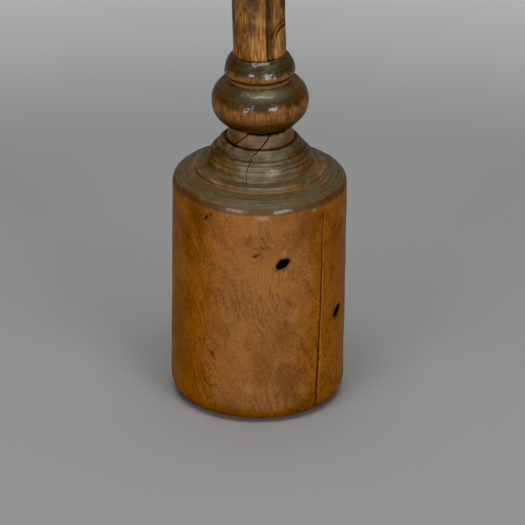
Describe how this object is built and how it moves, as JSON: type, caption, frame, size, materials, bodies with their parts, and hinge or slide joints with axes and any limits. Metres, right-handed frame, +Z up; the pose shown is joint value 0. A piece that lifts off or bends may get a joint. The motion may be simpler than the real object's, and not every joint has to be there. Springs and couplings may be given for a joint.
{
  "type": "muddler",
  "caption": "Turned wooden muddler: heavy cylindrical head with a moulded shoulder, a ring-and-ball collar and a long round handle, for crushing fruit, herbs and sugar.",
  "frame": {"origin": "centre of the striking face, on the table", "axes": "+Z up along the head's axis towards the handle; -Y is the front; the handle leans slightly towards -X"},
  "size_m": [0.07, 0.07, 0.3045],
  "materials": {
    "head_wood": "old waxed fruitwood, satin, brown with an olive-grey patina on the shoulder",
    "collar_wood": "old waxed fruitwood, semi-gloss, brown below and olive-grey above",
    "handle_wood": "old hand-polished branch wood, satin, streaky amber brown"
  },
  "bodies": {
    "root": {"head": "head_wood", "collar": "collar_wood", "handle": "handle_wood"}
  },
  "joints": []
}
